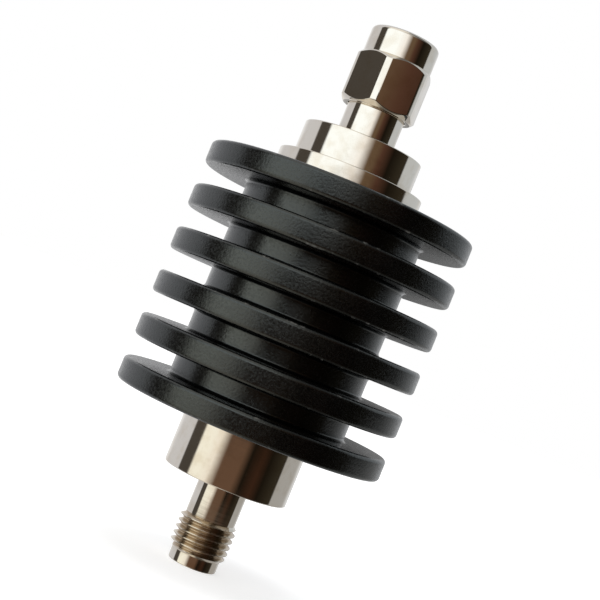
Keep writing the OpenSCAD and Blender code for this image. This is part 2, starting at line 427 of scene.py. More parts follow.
class NodeTree:
    """Node tree, with the steps that the materials and the world share."""

    def __init__(self, tree: bpy.types.NodeTree) -> None:
        """Takes the tree to work on."""
        self.tree = tree

    def feed(self, socket: Socket, value: Any) -> None:
        """Links an input to a socket, or sets it to a value.

        Args:
            socket: The input.
            value: Socket to link, or value to set.
        """
        if isinstance(value, Socket):
            self.tree.links.new(value, socket)
        else:
            socket.default_value = value

    def node(self, kind: str, feeds: dict[str | int, Any] | None = None, **settings: Any) -> bpy.types.Node:
        """Adds a node.

        Args:
            kind: Blender's name of the node.
            feeds: What its inputs get, by name or number: a socket to link, or a value.
            settings: Its own properties.

        Returns:
            The node.
        """
        made = self.tree.nodes.new(kind)
        for name, value in settings.items():
            setattr(made, name, value)
        for key, value in (feeds or {}).items():
            self.feed(made.inputs[key], value)
        return made

    def reckon(self, operation: str, *values: float | Socket) -> Socket:
        """Works out a sum of sockets and numbers, by an operation of the math node."""
        return self.node("ShaderNodeMath", dict(enumerate(values)), operation=operation).outputs["Value"]

    def spread(self, source: Socket, start: Point, end: Point = (0, 1)) -> Socket:
        """Maps the range start of a value smoothly to the range end.

        Args:
            source: Value to map.
            start: Its low and high end.
            end: What they become.

        Returns:
            The mapped value.
        """
        feeds = dict(zip(("Value", "From Min", "From Max", "To Min", "To Max"), (source, *start, *end)))
        return self.node("ShaderNodeMapRange", feeds, interpolation_type="SMOOTHSTEP").outputs["Result"]

    def mix(self, share: Socket, first: Colour | Socket, second: Colour | Socket) -> Socket:
        """Mixes two colours, each a plain one or a socket that gives one.

        Args:
            share: Share of the second colour.
            first: First colour.
            second: Second colour.

        Returns:
            The mixed colour.
        """
        mixer = self.node("ShaderNodeMix", {"Factor": share}, data_type="RGBA")
        for socket, colour in zip(mixer.inputs[6:8], (first, second)):
            self.feed(socket, colour if isinstance(colour, Socket) else (*colour, 1.0))
        return mixer.outputs[2]


class Shader(NodeTree):
    """Node tree of one material, around its main shader."""

    def __init__(self, name: str) -> None:
        """Starts an empty material of that name.

        Args:
            name: Name of the material.
        """
        self.material = bpy.data.materials.new(name)
        self.material.use_nodes = True
        super().__init__(self.material.node_tree)
        self.main = self.tree.nodes["Principled BSDF"]
        self.coords = self.node("ShaderNodeTexCoord").outputs["Object"]

    def set(self, **values: Any) -> None:
        """Feeds inputs of the main shader, named with _ for a space."""
        for name, value in values.items():
            self.feed(self.main.inputs[name.replace("_", " ")], value)

    def attribute(self, name: str) -> Socket:
        """Gives a value that the piece's own mesh holds."""
        return self.node("ShaderNodeAttribute", attribute_name=name).outputs["Fac"]

    def radius(self) -> Socket:
        """Gives the distance from the axis.

        Returns:
            The distance in metres.
        """
        flat = self.node("ShaderNodeVectorMath", {0: self.coords, 1: (1, 1, 0)}, operation="MULTIPLY")
        length = self.node("ShaderNodeVectorMath", {0: flat.outputs["Vector"]}, operation="LENGTH")
        return length.outputs["Value"]

    def lathe_coords(self) -> Socket:
        """Gives the radius and the height, which run across a tool's marks, with X between them.

        Returns:
            The three as coordinates.
        """
        split = self.node("ShaderNodeSeparateXYZ", {"Vector": self.coords}).outputs
        feeds = {"X": self.radius(), "Y": split["X"], "Z": split["Z"]}
        return self.node("ShaderNodeCombineXYZ", feeds).outputs["Vector"]

    def noise(self, noise: Noise) -> Socket:
        """Adds a noise in object coordinates, and gives its value.

        Args:
            noise: What it is like.

        Returns:
            Its value.
        """
        coords = self.lathe_coords() if noise.turned else self.coords
        mapping = self.node("ShaderNodeMapping", {"Vector": coords, "Scale": noise.cells})
        feeds = {"Vector": mapping.outputs["Vector"], "Scale": 1.0, "Detail": noise.detail}
        return self.node("ShaderNodeTexNoise", feeds).outputs["Fac"]

    def bump(self, height: Socket, depth: float) -> None:
        """Raises the surface by a height from 0 to 1, on top of earlier bumps.

        Args:
            height: Height at each point.
            depth: Depth of the bumps in millimetres.
        """
        feeds = {"Strength": 1.0, "Distance": depth * MM, "Height": height}
        before = self.main.inputs["Normal"]
        if before.is_linked:
            feeds["Normal"] = before.links[0].from_socket
        self.feed(before, self.node("ShaderNodeBump", feeds).outputs["Normal"])


class Gloss(Enum):
    """Noise of a finish that its gloss follows."""

    CLOUDS = "clouds"
    MARKS = "marks"


@dataclass(frozen=True)
class Finish:
    """Finish of a surface: its record slot, and the material that shows it.

    It has two tones in clouds, and marks in relief, of a depth in millimetres. A span is the part
    of a noise's range that counts.
    """

    slot: str
    name: str
    tones: Tones
    clouds: Noise
    marks: Noise
    mark_depth: float
    roughness: Point
    cloud_span: Point = (0.35, 0.7)
    gloss_from: Gloss = Gloss.MARKS
    gloss_span: Point = (0.3, 0.7)
    metallic: float = 0.0

    def tint(self, shader: Shader, tone: Socket) -> Socket:
        """Gives the colour, which a finish may change."""
        return tone

    def polish(self, shader: Shader, rough: Socket) -> Socket:
        """Gives the roughness, which a finish may change."""
        return rough

    def complete(self, shader: Shader) -> None:
        """Adds what a finish has beside its colour, roughness and marks."""

    def material(self) -> bpy.types.Material:
        """Gives the finish's material, which is made once.

        Returns:
            The material.
        """
        found = bpy.data.materials.get(self.name)
        if found is not None:
            return found
        shader = Shader(self.name)
        clouds = shader.noise(self.clouds)
        marks = clouds if self.marks == self.clouds else shader.noise(self.marks)
        tone = shader.mix(shader.spread(clouds, self.cloud_span), *self.tones)
        gloss = clouds if self.gloss_from is Gloss.CLOUDS else marks
        rough = shader.spread(gloss, self.gloss_span, self.roughness)
        shader.set(Base_Color=self.tint(shader, tone), Roughness=self.polish(shader, rough))
        shader.set(Metallic=self.metallic)
        shader.bump(marks, self.mark_depth)
        self.complete(shader)
        return shader.material


@dataclass(frozen=True)
class BlackAnodising(Finish):
    """Bead-blasted aluminium with black anodising, finer in the grooves, with light spots along its edges
    that are partly worn dye and partly painted highlight glints.
    """

    slot: str = "black_anodised"
    name: str = "blasted_black_anodising"
    tones: Tones = ((0.001, 0.001, 0.0013), (0.0026, 0.0026, 0.0028))
    clouds: Noise = Noise.even(420, 3)
    marks: Noise = Noise.even(4200, 4)
    mark_depth: float = 0.017
    roughness: Point = (0.16, 0.31)
    # Light spots on the fin edges: worn dye, and painted highlight glints as well.
    rubbed_and_glint: Colour = (0.11, 0.107, 0.1)
    glint_and_chip_spots: Noise = Noise.even(900, 4)
    glint_and_chip_span: Point = (0.58, 0.7)
    edge_span: Point = (0.4, 0.9)
    groove: Point = (10.2, 13.5)
    groove_share: float = 0.9
    ior: float = 1.7
    sheen: Colour = (0.93, 1.0, 0.97)
    wear_and_glint: ClassVar[str] = "edge_wear_and_glint"

    def tint(self, shader: Shader, tone: Socket) -> Socket:
        """Lightens spots along the edges, as worn dye and as painted highlight glints.

        Args:
            shader: Material to work on.
            tone: Colour of the dye.

        Returns:
            The colour with its worn spots and painted highlight glints.
        """
        edge = shader.spread(shader.attribute(self.wear_and_glint), self.edge_span)
        glint_and_chip_spots = shader.spread(shader.noise(self.glint_and_chip_spots), self.glint_and_chip_span)
        # Painted highlight glints and worn dye in spots along the edges.
        return shader.mix(shader.reckon("MULTIPLY", edge, glint_and_chip_spots), tone, self.rubbed_and_glint)

    def polish(self, shader: Shader, rough: Socket) -> Socket:
        """Leaves the grooves smoother, where the blasting reached less.

        Args:
            shader: Material to work on.
            rough: Roughness of the blasting.

        Returns:
            The final roughness.
        """
        inner_r, outer_r = self.groove
        reached = shader.spread(shader.radius(), (inner_r * MM, outer_r * MM), (self.groove_share, 1))
        return shader.reckon("MULTIPLY", rough, reached)

    def complete(self, shader: Shader) -> None:
        """Gives the oxide its sheen."""
        shader.set(IOR=self.ior, Specular_Tint=(*self.sheen, 1.0))


@dataclass(frozen=True)
class NickelPlate(Finish):
    """Bright nickel over turned brass, with fine tool marks, a faint warm tarnish, and thread roots darkened
    by grime and painted shade.
    """

    slot: str = "nickel_plate"
    name: str = "bright_nickel"
    tones: Tones = ((0.80, 0.755, 0.675), (0.74, 0.675, 0.575))
    clouds: Noise = Noise.even(650, 3)
    cloud_span: Point = (0.4, 0.72)
    marks: Noise = Noise((2400, 60, 2400), 4, turned=True)
    mark_depth: float = 0.0012
    gloss_from: Gloss = Gloss.CLOUDS
    gloss_span: Point = (0.3, 0.75)
    roughness: Point = (0.05, 0.1)
    metallic: float = 1.0
    # Colour of grime and painted shade in the thread roots.
    film: Colour = (0.47, 0.36, 0.235)
    grime_and_shade_span: Point = (0.0, 0.9)
    grime_and_shade_share: float = 0.8
    film_dulls: float = 0.16
    waves: Noise = Noise.even(420, 2)
    wave_depth: float = 0.004
    root_grime_and_shade: ClassVar[str] = "root_grime_and_shade"

    def tint(self, shader: Shader, tone: Socket) -> Socket:
        """Darkens the roots of the threads, with grime and painted shade."""
        grimed_and_shaded = shader.spread(shader.attribute(self.root_grime_and_shade), self.grime_and_shade_span, (0, self.grime_and_shade_share))
        # Painted shade and grime darken the thread roots, by their depth.
        return shader.mix(grimed_and_shaded, tone, self.film)

    def polish(self, shader: Shader, rough: Socket) -> Socket:
        """Dulls the darkened roots."""
        dulled = shader.spread(shader.attribute(self.root_grime_and_shade), (0, 1), (0, self.film_dulls))
        return shader.reckon("ADD", rough, dulled)

    def complete(self, shader: Shader) -> None:
        """Makes the plate a little wavy."""
        shader.bump(shader.noise(self.waves), self.wave_depth)


@dataclass(frozen=True)
class Fluoropolymer(Finish):
    """Waxy white dielectric with faint rings from the lathe."""

    slot: str = "insulator_white"
    name: str = "white_fluoropolymer"
    tones: Tones = ((0.88, 0.88, 0.86), (0.80, 0.79, 0.75))
    clouds: Noise = Noise.even(900, 3)
    cloud_span: Point = (0.45, 0.8)
    marks: Noise = Noise((9000, 1, 9000), 2, turned=True)
    mark_depth: float = 0.002
    roughness: Point = (0.32, 0.46)
    glow: float = 0.15
    glow_reach: float = 0.4
    ior: float = 1.35

    def complete(self, shader: Shader) -> None:
        """Lets light a little way into the plastic."""
        shader.set(Subsurface_Weight=self.glow, Subsurface_Radius=(self.glow_reach * MM,) * 3, IOR=self.ior)


@dataclass(frozen=True)
class GoldPlate(Finish):
    """Gold plate on the contacts and the solder tabs."""

    slot: str = "contact_gold"
    name: str = "gold_plate"
    tones: Tones = ((0.93, 0.70, 0.31), (0.86, 0.59, 0.22))
    clouds: Noise = Noise.even(1500, 3)
    marks: Noise = Noise((12000, 1, 12000), 2, turned=True)
    mark_depth: float = 0.0008
    gloss_from: Gloss = Gloss.CLOUDS
    gloss_span: Point = (0.3, 0.75)
    roughness: Point = (0.14, 0.27)
    metallic: float = 1.0


@dataclass(frozen=True)
class Silicone(Finish):
    """Moulded red silicone of the gasket, with a dusty bloom."""

    slot: str = "gasket_silicone"
    name: str = "red_silicone"
    tones: Tones = ((0.42, 0.085, 0.05), (0.52, 0.19, 0.14))
    clouds: Noise = Noise.even(2600, 4)
    cloud_span: Point = (0.45, 0.8)
    marks: Noise = Noise.even(2600, 4)
    mark_depth: float = 0.004
    gloss_span: Point = (0.3, 0.8)
    roughness: Point = (0.45, 0.68)


@dataclass(frozen=True)
class BareAluminium(Finish):
    """Aluminium of the carrier halves, milled along the axis."""

    slot: str = "carrier_aluminium"
    name: str = "milled_aluminium"
    tones: Tones = ((0.76, 0.76, 0.77), (0.60, 0.60, 0.61))
    clouds: Noise = Noise.even(500, 3)
    marks: Noise = Noise((9000, 9000, 260), 3)
    mark_depth: float = 0.0015
    roughness: Point = (0.24, 0.4)
    metallic: float = 1.0


@dataclass(frozen=True)
class FiredCeramic(Finish):
    """White ceramic chip with a dark resistor film printed across its middle."""

    slot: str = "chip_ceramic"
    name: str = "fired_ceramic"
    tones: Tones = ((0.84, 0.84, 0.80), (0.7, 0.7, 0.66))
    clouds: Noise = Noise.even(5000, 3)
    cloud_span: Point = (0.4, 0.8)
    marks: Noise = Noise.even(5000, 3)
    mark_depth: float = 0.002
    roughness: Point = (0.4, 0.58)
    film: Colour = (0.055, 0.05, 0.045)
    film_half: Point = (2.1, 3.4)
    film_edge: float = 0.05
    film_skin: float = 0.1

    def tint(self, shader: Shader, tone: Socket) -> Socket:
        """Prints the film on the chip's face.

        Args:
            shader: Material to work on.
            tone: Colour of the ceramic.

        Returns:
            The printed colour.
        """
        low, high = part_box("attenuator_chip")
        feeds = {"Vector": shader.coords, "Location": (0, 0, -(low.z + high.z) / 2)}
        centred = shader.node("ShaderNodeMapping", feeds).outputs["Vector"]
        split = shader.node("ShaderNodeSeparateXYZ", {"Vector": centred}).outputs
        printed = shader.spread(split["Y"], (-self.film_skin * MM, 0.0))
        for axis, half in zip("XZ", self.film_half):
            size = shader.reckon("ABSOLUTE", split[axis])
            inside = shader.spread(size, ((half - self.film_edge) * MM, half * MM), (1, 0))
            printed = shader.reckon("MULTIPLY", printed, inside)
        return shader.mix(printed, tone, self.film)


@dataclass(frozen=True)
class SpringBronze(Finish):
    """Stamped spring bronze of the retaining ring, a little browned."""

    slot: str = "spring_metal"
    name: str = "spring_bronze"
    tones: Tones = ((0.68, 0.50, 0.31), (0.42, 0.27, 0.15))
    clouds: Noise = Noise.even(1300, 4)
    cloud_span: Point = (0.4, 0.75)
    marks: Noise = Noise((600, 600, 14000), 2)
    mark_depth: float = 0.0012
    gloss_from: Gloss = Gloss.CLOUDS
    roughness: Point = (0.24, 0.42)
    metallic: float = 1.0


def seat(piece: Piece, node: str, finish: Finish, body: Body = Body.ATTENUATOR) -> Piece:
    """Dresses a new piece and puts it in the place of its node.

    Args:
        piece: Finished mesh, in the frame.
        node: Node that it stands for.
        finish: Its finish.
        body: Body that it rides on.

    Returns:
        The same piece.
    """
    smooth(piece)
    piece.data.materials.clear()
    piece.data.materials.append(finish.material())
    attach(piece, body.value)
    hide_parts(node)
    return piece


# The object


@dataclass
class HeatSink:
    """Turned heat sink with round fins."""

    bore_r: float = 6.93
    core_r: float = 10.0
    fin_count: int = 6
    fin_t: float = 2.5
    edge_r: float = 0.45
    root_r: float = 0.4
    segments: int = 192
    span: Span = field(init=False)

    def __post_init__(self) -> None:
        """Takes the outer size from the frame."""
        self.span = Span.of("heat_sink")

    def fin_faces(self) -> list[Point]:
        """Gives the lower and upper height of each fin.

        Returns:
            Pairs of heights, from the foot up.
        """
        pitch = (self.span.high - self.span.low - self.fin_t) / (self.fin_count - 1)
        lows = [self.span.low + index * pitch for index in range(self.fin_count)]
        return [(low, low + self.fin_t) for low in lows]

    def outline(self) -> list[Corner]:
        """Gives the section, fin by fin from the foot up.

        Returns:
            Corners, with none at a root below the lowest fin or above the highest.
        """
        corners = []
        for low, high in self.fin_faces():
            corners += [
                Corner(self.core_r, low, self.root_r),
                Corner(self.span.r, low, self.edge_r),
                Corner(self.span.r, high, self.edge_r),
                Corner(self.core_r, high, self.root_r),
            ]
        return [Corner(self.bore_r, self.span.low), *corners[1:-1], Corner(self.bore_r, self.span.high)]

    def mark_wear_and_glint(self, piece: Piece) -> None:
        """Writes how far each point is on a fin's rounded edge, for the worn spots and painted highlight
        glints of the finish.

        Args:
            piece: The heat sink.
        """
        wear_and_glint = piece.data.attributes.new(BlackAnodising.wear_and_glint, "FLOAT", "POINT")
        faces = [face for both in self.fin_faces() for face in both]
        for vertex, value in zip(piece.data.vertices, wear_and_glint.data):
            height = vertex.co.z / MM
            from_rim = self.span.r - vertex.co.xy.length / MM
            from_face = min(abs(height - face) for face in faces)
            if max(from_rim, from_face) < self.edge_r:
                value.value = 1 - abs(from_rim - from_face) / self.edge_r

    def build(self) -> list[Piece]:
        """Turns and dresses the heat sink.

        Returns:
            The heat sink alone.
        """
        piece = turn("finned_sink", self.outline(), self.segments)
        self.mark_wear_and_glint(piece)
        return [seat(piece, "heat_sink", BlackAnodising())]


@dataclass
class Housing:
    """Plated sleeve through the heat sink, with the flange on its head."""

    bore_r: float = 5.5
    sleeve_r: float = 6.9
    flange_t: float = 2.3
    edge_r: float = 0.14
    segments: int = 160

    def build(self) -> list[Piece]:
        """Turns and dresses the sleeve.

        Returns:
            The sleeve alone.
        """
        span = Span.of("housing_sleeve")
        seat_z = span.high - self.flange_t
        piece = turn("flanged_sleeve", [
            Corner(self.bore_r, span.low),
            Corner(self.sleeve_r, span.low, self.edge_r),
            Corner(self.sleeve_r, seat_z),
            Corner(span.r, seat_z, self.edge_r),
            Corner(span.r, span.high, self.edge_r),
            Corner(self.bore_r, span.high),
        ], self.segments)
        return [seat(piece, "housing_sleeve", NickelPlate())]


@dataclass
class CentreLine:
    """Sizes that the insulators and centre conductors of both ends share."""

    conductor_r: float = 0.635
    collar_r: float = 0.985
    collar_t: float = 0.8
    insulator_r: float = 2.05
    head_r: float = 2.8
    head_t: float = 1.5
    line_r: float = 2.08
    gap: float = 0.03
    edge_r: float = 0.05
    tail_flat: float = 2.0
    overrun: float = 1.0
    segments: int = 96

    def insulator(self, name: str, node: str, head_up: bool) -> Piece:
        """Turns and dresses a headed insulator.

        Args:
            name: Name of the new piece.
            node: Node that it stands for.
            head_up: Whether its head is at its upper end.

        Returns:
            The insulator.
        """
        span = Span.of(node)
        head_z, face_z = (span.high, span.low) if head_up else (span.low, span.high)
        up = math.copysign(1, face_z - head_z)
        bore_r = self.conductor_r + self.gap
        piece = turn(name, [
            Corner(self.collar_r + self.gap, head_z),
            Corner(self.head_r, head_z, self.edge_r),
            Corner(self.head_r, head_z + up * self.head_t, self.edge_r),
            Corner(self.insulator_r, head_z + up * self.head_t),
            Corner(self.insulator_r, face_z, self.edge_r),
            Corner(bore_r, face_z, self.edge_r),
            Corner(bore_r, head_z + up * self.collar_t),
            Corner(self.collar_r + self.gap, head_z + up * self.collar_t),
        ], self.segments)
        return seat(piece, node, Fluoropolymer())

    def stem(self, head_z: float, tail_z: float) -> list[Corner]:
        """Gives the outline of a conductor behind its mating end, with its collar and tail.

        Args:
            head_z: Height of the insulator head's inner face.
            tail_z: Height of the tail's end.

        Returns:
            Corners from the collar to the axis at the tail.
        """
        up = math.copysign(1, tail_z - head_z)
        return [
            Corner(self.conductor_r, head_z - up * self.collar_t),
            Corner(self.collar_r, head_z - up * self.collar_t, self.edge_r),
            Corner(self.collar_r, head_z, self.edge_r),
            Corner(self.conductor_r, head_z),
            Corner(self.conductor_r, tail_z, self.edge_r),
            Corner(0, tail_z),
        ]

    def flatten_tail(self, piece: Piece, tail_z: float, up: float) -> None:
        """Mills the flat on a conductor's tail that the solder tab lies on.

        Args:
            piece: Conductor.
            tail_z: Height of the tail's end.
            up: 1 where the tail points up, -1 where it points down.
        """
        heights = sorted((tail_z - up * self.tail_flat, tail_z + up * self.overrun))
        low = (-2 * self.collar_r, 0, heights[0])
        high = (2 * self.collar_r, 2 * self.collar_r, heights[1])
        cut_away(piece, block("tail_cutter", low, high))


@dataclass
class JackEnd:
    """Threaded jack at the foot, with its dielectric and slotted socket contact."""

    line: CentreLine = field(default_factory=CentreLine)
    mouth_r: float = 2.31
    mouth_depth: float = 1.93
    pilot_r: float = 2.70
    pilot_len: float = 1.25
    thread_r: float = 3.17
    thread_len: float = 4.1
    neck_r: float = 2.75
    socket_r: float = 0.47
    socket_depth: float = 2.6
    slot_w: float = 0.12
    slot_len: float = 2.2
    edge_r: float = 0.14
    mating_r: float = 0.08
    segments: int = 144

    def shell(self) -> Piece:
        """Turns the shell and cuts its thread.

        Returns:
            The dressed shell.
        """
        span = Span.of("jack_shell")
        line = self.line
        head_r = line.head_r + line.gap
        neck_high = Span.of("housing_sleeve").low
        thread = Thread(
            root_r=self.pilot_r,
            crest_r=self.thread_r,
            z_low=self.pilot_len,
            z_high=self.pilot_len + self.thread_len,
            low_r=self.pilot_r,
            high_r=self.neck_r,
        )
        piece = turn("threaded_jack", [
            Corner(self.neck_r, thread.z_high),
            Corner(self.neck_r, neck_high, self.edge_r),
            Corner(span.r, neck_high, self.edge_r),
            Corner(span.r, span.high),
            Corner(head_r, span.high),
            Corner(head_r, span.high - line.head_t),
            Corner(line.line_r, span.high - line.head_t),
            Corner(line.line_r, self.mouth_depth),
            Corner(self.mouth_r, self.mouth_depth),
            Corner(self.mouth_r, span.low, self.mating_r),
            Corner(self.pilot_r, span.low, self.edge_r),
            Corner(self.pilot_r, thread.z_low),
        ], self.segments, closed=False)
        join(piece, thread.cut("jack_thread", self.segments))
        return seat(piece, "jack_shell", NickelPlate())

    def contact(self) -> Piece:
        """Turns the socket contact, slots it and mills its tail.

        Returns:
            The dressed contact.
        """
        span = Span.of("jack_contact")
        line = self.line
        piece = turn("socket_contact", [
            Corner(0, span.low + self.socket_depth),
            Corner(self.socket_r, span.low + self.socket_depth),
            Corner(self.socket_r, span.low, line.edge_r),
            Corner(line.conductor_r, span.low, line.edge_r),
            *line.stem(Span.of("jack_shell").high, span.high),
        ], line.segments)
        low, high = span.low - line.overrun, span.low + self.slot_len
        long, half = 2 * line.conductor_r, self.slot_w / 2
        for wide, deep in ((half, long), (long, half)):
            cut_away(piece, block("slot_saw", (-wide, -deep, low), (wide, deep, high)))
        line.flatten_tail(piece, span.high, 1)
        return seat(piece, "jack_contact", GoldPlate())

    def build(self) -> list[Piece]:
        """Makes the pieces of the jack."""
        return [self.shell(), self.line.insulator("jack_dielectric", "jack_insulator", True), self.contact()]


@dataclass
class PlugEnd:
    """Plug at the head: collar, neck and ferrule, with its dielectric, pin and gasket."""

    line: CentreLine = field(default_factory=CentreLine)
    spigot_r: float = 5.47
    collar_t: float = 3.6
    neck_r: float = 3.21
    groove_r: float = 2.76
    groove_play: float = 0.03
    nut_float: float = 0.4
    ferrule_r: float = 2.295
    root_r: float = 2.375
    pin_r: float = 0.46
    tip_round: float = 0.2
    gasket_round: float = 0.45
    edge_r: float = 0.14
    corner_r: float = 0.12
    mating_r: float = 0.07
    segments: int = 144

    def shell(self) -> Piece:
        """Turns the shell.

        Returns:
            The dressed shell.
        """
        span = Span.of("plug_shell")
        gasket = Span.of("sealing_gasket")
        ring = Span.of("retaining_ring")
        line = self.line
        head_r = line.head_r + line.gap
        collar_low = Span.of("housing_sleeve").high
        neck_low = collar_low + self.collar_t
        groove_low = ring.low - self.groove_play
        groove_high = ring.high + self.nut_float + self.groove_play
        piece = turn("plug_body", [
            Corner(head_r, span.low),
            Corner(self.spigot_r, span.low),
            Corner(self.spigot_r, collar_low),
            Corner(span.r, collar_low, self.corner_r),
            Corner(span.r, neck_low, self.edge_r),
            Corner(self.neck_r, neck_low, self.corner_r),
            Corner(self.neck_r, groove_low),
            Corner(self.groove_r, groove_low),
            Corner(self.groove_r, groove_high),
            Corner(self.neck_r, groove_high),
            Corner(self.neck_r, gasket.low, self.mating_r),
            Corner(self.root_r, gasket.low),
            Corner(self.ferrule_r, gasket.high),
            Corner(self.ferrule_r, span.high, self.mating_r),
            Corner(line.line_r, span.high),
            Corner(line.line_r, span.low + line.head_t),
            Corner(head_r, span.low + line.head_t),
        ], self.segments)
        return seat(piece, "plug_shell", NickelPlate())

    def pin(self) -> Piece:
        """Turns the pin and mills its tail.

        Returns:
            The dressed pin.
        """
        span = Span.of("plug_pin")
        shell = Span.of("plug_shell")
        line = self.line
        piece = turn("plug_centre_pin", [
            Corner(0, span.high),
            Corner(self.pin_r, span.high, self.tip_round),
            Corner(self.pin_r, shell.high),
            Corner(line.conductor_r, shell.high, line.edge_r),
            *line.stem(shell.low, span.low),
        ], line.segments)
        line.flatten_tail(piece, span.low, -1)
        return seat(piece, "plug_pin", GoldPlate())

    def gasket(self) -> Piece:
        """Moulds the gasket.

        Returns:
            The dressed gasket.
        """
        span = Span.of("sealing_gasket")
        inner_r = self.root_r + self.line.gap
        round_r = self.gasket_round * (span.r - inner_r)
        piece = turn("silicone_gasket", [
            Corner(inner_r, span.low, round_r),
            Corner(span.r, span.low, round_r),
            Corner(span.r, span.high, round_r),
            Corner(inner_r, span.high, round_r),
        ], self.segments)
        return seat(piece, "sealing_gasket", Silicone())

    def build(self) -> list[Piece]:
        """Makes the pieces of the plug."""
        dielectric = ("plug_dielectric", "plug_insulator", False)
        return [self.shell(), self.line.insulator(*dielectric), self.pin(), self.gasket()]


@dataclass
class CouplingNut:
    """Free hexagon nut with a round front ring and an inner thread. Angles are in degrees."""

    bore_r: float = 3.29
    groove_r: float = 3.56
    groove_play: float = 0.03
    thread_r: float = 2.85
    thread_root_r: float = 3.2
    thread_relief: float = 0.3
    mouth_sink: float = 0.4
    flat_r: float = 3.95
    flat_crown: float = 0.05
    flat_reach: float = 27.0
    corner_trim: float = 0.175
    corner_play: float = 1e-4
    hex_len: float = 5.8
    chamfer_h: float = 0.52
    ring_r: float = 3.85
    ring_edge_r: float = 0.5
    edge_r: float = 0.1
    turned_to: float = 18.6
    burr: float = 0.06
    burr_steps: int = 3
    segments: int = 144
    span: Span = field(init=False)

    def __post_init__(self) -> None:
        """Takes the nut's reach from the frame."""
        self.span = Span.of("coupling_nut")

    def widest_r(self) -> float:
        """Gives the radius of the turned-down corners."""
        return self.flat_r / math.cos(math.radians(HEX_STEP / 2)) - self.corner_trim

    def blank(self) -> Piece:
        """Turns the round blank and cuts its inner thread.

        Returns:
            The blank, before its flats are milled.
        """
        low, high = self.span.low, self.span.high
        snap_ring = Span.of("retaining_ring")
        groove_low = snap_ring.low - self.groove_play
        groove_high = snap_ring.high + self.groove_play
        ring_low = low + self.hex_len
        corner_r = self.widest_r()
        thread = Thread(
            root_r=self.thread_root_r,
            crest_r=self.thread_r,
            z_low=Span.of("sealing_gasket").low + self.thread_relief,
            z_high=high - self.mouth_sink,
            low_r=self.thread_r,
            high_r=self.thread_r,
        )
        piece = turn("hex_coupling_nut", [
            Corner(self.thread_r, thread.z_low),
            Corner(self.bore_r, thread.z_low),
            Corner(self.bore_r, groove_high),
            Corner(self.groove_r, groove_high),
            Corner(self.groove_r, groove_low),
            Corner(self.bore_r, groove_low),
            Corner(self.bore_r, low, self.edge_r),
            Corner(self.ring_r, low, self.edge_r),
            Corner(corner_r, low + self.chamfer_h),
            Corner(corner_r, ring_low - self.chamfer_h),
            Corner(self.ring_r, ring_low),
            Corner(self.ring_r, high, self.ring_edge_r),
            Corner(self.thread_r + self.mouth_sink, high, self.edge_r),
            Corner(self.thread_r, thread.z_high),
        ], self.segments, closed=False)
        join(piece, thread.cut("nut_thread", self.segments))
        return piece

    def line_up(self, angle: float) -> float:
        """Moves a blank's column to the flats, so that one column falls on each end of every flat.

        Args:
            angle: Angle of the column from the middle of its flat.

        Returns:
            The angle to move it to.
        """
        step = 360 / self.segments
        flat_end = math.degrees(math.acos(self.flat_r / self.widest_r()))
        column = step * math.floor(flat_end / step)
        if abs(angle) <= column:
            return angle * flat_end / column
        spare = (abs(angle) - column) * (HEX_STEP / 2 - flat_end) / (HEX_STEP / 2 - column)
        return math.copysign(flat_end + spare, angle)

    def flat_at(self, angle: float) -> float:
        """Gives the radius of a flat, which is crowned by polishing.

        Args:
            angle: Angle from the middle of the flat.

        Returns:
            The distance from the axis.
        """
        across = self.flat_r * math.tan(math.radians(angle))
        half = math.sqrt(self.widest_r() ** 2 - self.flat_r ** 2)
        crown = max(0.0, 1 - (across / half) ** 2) * self.flat_crown
        return (self.flat_r + crown) / math.cos(math.radians(angle))

    def mill_flats(self, piece: Piece) -> None:
        """Mills the six flats, by pressing the blank's widest rows on to them, and takes off the burr.

        Args:
            piece: The blank.
        """
        corner_r = self.widest_r()
        slope = self.chamfer_h / (corner_r - self.ring_r)
        middle = (self.span.low + self.hex_len / 2) * MM
        rows: set[int] = set()
        ends: set[int] = set()
        for vertex in piece.data.vertices:
            radius = vertex.co.xy.length / MM
            heading = math.degrees(math.atan2(vertex.co.y, vertex.co.x))
            from_middle = heading % HEX_STEP - HEX_STEP / 2
            angle = self.line_up(from_middle)
            if radius > corner_r - self.corner_trim:
                pressed = min(corner_r, self.flat_at(angle))
                sink = (corner_r - pressed) * slope * MM
                vertex.co.z += math.copysign(sink, vertex.co.z - middle)
                radius = pressed
                rows.add(vertex.index)
                if corner_r - pressed < self.corner_play and abs(angle) < self.flat_reach:
                    ends.add(vertex.index)
            heading = math.radians(heading - from_middle + angle + self.turned_to)
            vertex.co.xy = Vector((math.cos(heading), math.sin(heading))) * radius * MM
        self.take_off_burr(piece, rows, ends)

    def take_off_burr(self, piece: Piece, rows: set[int], ends: set[int]) -> None:
        """Rounds the edges of the flats and corners.

        Args:
            piece: The nut.
            rows: Vertices where the flats and corners meet the chamfers.
            ends: Those of them where a flat meets a corner.
        """
        mesh = piece.data
        bpy.context.tool_settings.mesh_select_mode = (False, True, False)
        for element in (*mesh.vertices, *mesh.polygons):
            element.select = False
        for edge in mesh.edges:
            first, second = edge.vertices
            level = abs(mesh.vertices[first].co.z - mesh.vertices[second].co.z) < self.chamfer_h * MM
            edge.select = {first, second} <= (rows if level else ends)
        with editing(piece):
            offset = self.burr * MM
            bpy.ops.mesh.bevel(offset=offset, segments=self.burr_steps, affect="EDGES", clamp_overlap=True)

    def build(self) -> list[Piece]:
        """Makes and dresses the nut.

        Returns:
            The nut alone.
        """
        piece = self.blank()
        self.mill_flats(piece)
        return [seat(piece, "coupling_nut", NickelPlate(), Body.NUT)]


